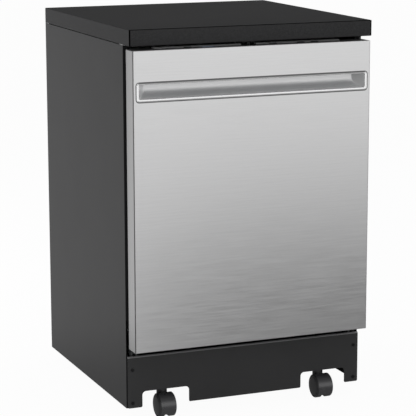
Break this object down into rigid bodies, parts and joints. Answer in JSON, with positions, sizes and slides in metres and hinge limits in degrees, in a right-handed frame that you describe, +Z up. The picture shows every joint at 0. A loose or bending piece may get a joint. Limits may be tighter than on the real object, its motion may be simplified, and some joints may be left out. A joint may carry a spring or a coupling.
{
  "type": "portable dishwasher",
  "caption": "Free-standing dishwasher on swivel casters with a flat worktop, a drop-down steel door with a scoop handle, two pull-out racks and spray arms.",
  "frame": {"origin": "centre of the footprint on the floor, under the casters", "axes": "+Z up, -Y towards the door, +X to the right seen from the front"},
  "size_m": [0.603, 0.639, 0.918],
  "materials": {
    "blue_plastic": "satin",
    "board_green": "matte",
    "bracket_steel": "satin",
    "button_grey": "satin",
    "dark_plastic": "matte",
    "display": "gloss",
    "door_steel": "brushed",
    "felt": "matte",
    "frame_steel": "satin",
    "grey_plastic": "matte",
    "handle_chrome": "satin",
    "heater_steel": "satin",
    "ivory_plastic": "matte",
    "kick_paint": "satin",
    "laminate": "satin",
    "rack_coat": "satin",
    "rail_steel": "satin",
    "screw_black": "satin",
    "seal_rubber": "matte",
    "side_paint": "satin",
    "spring_steel": "satin",
    "strip_black": "satin",
    "tub_steel": "satin",
    "wheel_black": "satin",
    "white_plastic": "matte",
    "zinc_steel": "satin"
  },
  "bodies": {
    "cabinet": {"worktop": "laminate", "worktop_brackets": "bracket_steel", "side_panel_left": "side_paint", "side_panel_right": "side_paint", "rear_panel": "zinc_steel", "base_frame": "frame_steel", "base_pan": "dark_plastic", "toe_kick": "kick_paint", "panel_screws": "screw_black", "tub": "tub_steel", "door_seal": "seal_rubber", "sound_blanket": "felt", "upper_rack_rails": "rail_steel", "sump": "dark_plastic", "filter_plate": "tub_steel", "heater": "heater_steel", "wash_pump": "grey_plastic", "drain_pump": "grey_plastic", "inlet_valve": "ivory_plastic", "spray_feed_tube": "grey_plastic", "float_switch": "dark_plastic", "latch_strike": "screw_black", "cord_inlet_box": "dark_plastic", "hose_couplings": "grey_plastic", "balance_springs": "spring_steel"},
    "door": {"door_outer_panel": "door_steel", "handle_pocket": "handle_chrome", "door_inner_panel": "tub_steel", "door_insulation": "felt", "control_panel": "strip_black", "display_window": "display", "control_board": "board_green", "door_latch": "dark_plastic", "detergent_dispenser": "grey_plastic", "hinge_arms": "frame_steel"},
    "filter_cup": {"filter_cup": "grey_plastic"},
    "float": {"float": "white_plastic"},
    "lower_spray_arm": {"lower_spray_arm": "grey_plastic"},
    "lower_rack": {"lower_rack": "rack_coat"},
    "rack_wheels_front": {"lower_rack_wheels_front": "grey_plastic"},
    "rack_wheels_rear": {"lower_rack_wheels_rear": "grey_plastic"},
    "cutlery_basket": {"cutlery_basket": "grey_plastic"},
    "upper_rack": {"upper_rack": "rack_coat", "upper_rack_slides": "rail_steel"},
    "upper_spray_arm": {"upper_spray_arm": "grey_plastic"},
    "latch_hook": {"latch_hook": "screw_black"},
    "dispenser_lid": {"dispenser_lid": "dark_plastic"},
    "rinse_aid_cap": {"rinse_aid_cap": "blue_plastic"},
    "power_button": {"power_button": "button_grey"},
    "cycle_button": {"cycle_button": "button_grey"},
    "option_button": {"option_button": "button_grey"},
    "start_button": {"start_button": "button_grey"},
    "caster_front_left": {"caster_front_left": "wheel_black"},
    "wheels_front_left": {"wheels_front_left": "wheel_black"},
    "caster_front_right": {"caster_front_right": "wheel_black"},
    "wheels_front_right": {"wheels_front_right": "wheel_black"},
    "caster_rear_left": {"caster_rear_left": "wheel_black"},
    "wheels_rear_left": {"wheels_rear_left": "wheel_black"},
    "caster_rear_right": {"caster_rear_right": "wheel_black"},
    "wheels_rear_right": {"wheels_rear_right": "wheel_black"}
  },
  "joints": [
    {"name": "door_hinge", "type": "hinge", "parent": "cabinet", "child": "door", "pos_m": [0, -0.262, 0.163], "axis": [1, 0, 0], "range_deg": [0, 90], "stiffness_Nm_per_rad": 20, "springref_deg": -11.46, "deforming": ["balance_springs"]},
    {"name": "lower_rack_slide", "type": "slide", "parent": "cabinet", "child": "lower_rack", "axis": [0, -1, 0], "range_m": [0, 0.1807]},
    {"name": "upper_rack_slide", "type": "slide", "parent": "cabinet", "child": "upper_rack", "axis": [0, -1, 0], "range_m": [0, 0.4]},
    {"name": "rack_wheels_front_spin", "type": "hinge", "parent": "lower_rack", "child": "rack_wheels_front", "pos_m": [0, -0.103, 0.208], "axis": [1, 0, 0], "range_deg": [0, 585.2]},
    {"name": "rack_wheels_rear_spin", "type": "hinge", "parent": "lower_rack", "child": "rack_wheels_rear", "pos_m": [0, 0.187, 0.208], "axis": [1, 0, 0], "range_deg": [0, 585.2]},
    {"name": "basket_lift", "type": "slide", "parent": "lower_rack", "child": "cutlery_basket", "axis": [0, 0, 1], "range_m": [0, 0.05]},
    {"name": "lower_spray_arm_spin", "type": "hinge", "parent": "cabinet", "child": "lower_spray_arm", "pos_m": [0, 0.04, 0.225], "axis": [0, 0, 1], "continuous": true},
    {"name": "upper_spray_arm_spin", "type": "hinge", "parent": "upper_rack", "child": "upper_spray_arm", "pos_m": [0, 0.015, 0.525], "axis": [0, 0, 1], "continuous": true},
    {"name": "filter_cup_twist", "type": "hinge", "parent": "cabinet", "child": "filter_cup", "pos_m": [0, -0.055, 0.17], "axis": [0, 0, 1], "range_deg": [0, 90]},
    {"name": "float_rise", "type": "slide", "parent": "cabinet", "child": "float", "axis": [0, 0, 1], "range_m": [0, 0.01]},
    {"name": "latch_hook_pivot", "type": "hinge", "parent": "door", "child": "latch_hook", "pos_m": [0, -0.2797, 0.8564], "axis": [1, 0, 0], "range_deg": [0, 12], "stiffness_Nm_per_rad": 0.05, "springref_deg": -5.73},
    {"name": "dispenser_lid_slide", "type": "slide", "parent": "door", "child": "dispenser_lid", "axis": [-1, 0, 0], "range_m": [0, 0.066]},
    {"name": "rinse_cap_turn", "type": "hinge", "parent": "door", "child": "rinse_aid_cap", "pos_m": [0.01, -0.24, 0.51], "axis": [0, 1, 0], "range_deg": [0, 90]},
    {"name": "power_button_press", "type": "slide", "parent": "door", "child": "power_button", "axis": [0, 0, -1], "range_m": [0, 0.001], "stiffness_N_per_m": 800, "springref_m": -0.001},
    {"name": "cycle_button_press", "type": "slide", "parent": "door", "child": "cycle_button", "axis": [0, 0, -1], "range_m": [0, 0.001], "stiffness_N_per_m": 800, "springref_m": -0.001},
    {"name": "option_button_press", "type": "slide", "parent": "door", "child": "option_button", "axis": [0, 0, -1], "range_m": [0, 0.001], "stiffness_N_per_m": 800, "springref_m": -0.001},
    {"name": "start_button_press", "type": "slide", "parent": "door", "child": "start_button", "axis": [0, 0, -1], "range_m": [0, 0.001], "stiffness_N_per_m": 800, "springref_m": -0.001},
    {"name": "caster_front_left_swivel", "type": "hinge", "parent": "cabinet", "child": "caster_front_left", "pos_m": [-0.2035, -0.242, 0.07], "axis": [0, 0, 1], "continuous": true},
    {"name": "wheels_front_left_roll", "type": "hinge", "parent": "caster_front_left", "child": "wheels_front_left", "pos_m": [-0.2035, -0.262, 0.028], "axis": [1, 0, 0], "continuous": true},
    {"name": "caster_front_right_swivel", "type": "hinge", "parent": "cabinet", "child": "caster_front_right", "pos_m": [0.2035, -0.242, 0.07], "axis": [0, 0, 1], "continuous": true},
    {"name": "wheels_front_right_roll", "type": "hinge", "parent": "caster_front_right", "child": "wheels_front_right", "pos_m": [0.2035, -0.262, 0.028], "axis": [1, 0, 0], "continuous": true},
    {"name": "caster_rear_left_swivel", "type": "hinge", "parent": "cabinet", "child": "caster_rear_left", "pos_m": [-0.2035, 0.242, 0.07], "axis": [0, 0, 1], "continuous": true},
    {"name": "wheels_rear_left_roll", "type": "hinge", "parent": "caster_rear_left", "child": "wheels_rear_left", "pos_m": [-0.2035, 0.222, 0.028], "axis": [1, 0, 0], "continuous": true},
    {"name": "caster_rear_right_swivel", "type": "hinge", "parent": "cabinet", "child": "caster_rear_right", "pos_m": [0.2035, 0.242, 0.07], "axis": [0, 0, 1], "continuous": true},
    {"name": "wheels_rear_right_roll", "type": "hinge", "parent": "caster_rear_right", "child": "wheels_rear_right", "pos_m": [0.2035, 0.222, 0.028], "axis": [1, 0, 0], "continuous": true}
  ],
  "couplings": [
    {"joint": "lower_rack_slide", "follows": "door_hinge", "m_per_rad": 0.115},
    {"joint": "upper_rack_slide", "follows": "door_hinge", "m_per_rad": 0.2546},
    {"joint": "rack_wheels_front_spin", "follows": "door_hinge", "ratio": 6.4972},
    {"joint": "rack_wheels_rear_spin", "follows": "door_hinge", "ratio": 6.4972}
  ]
}
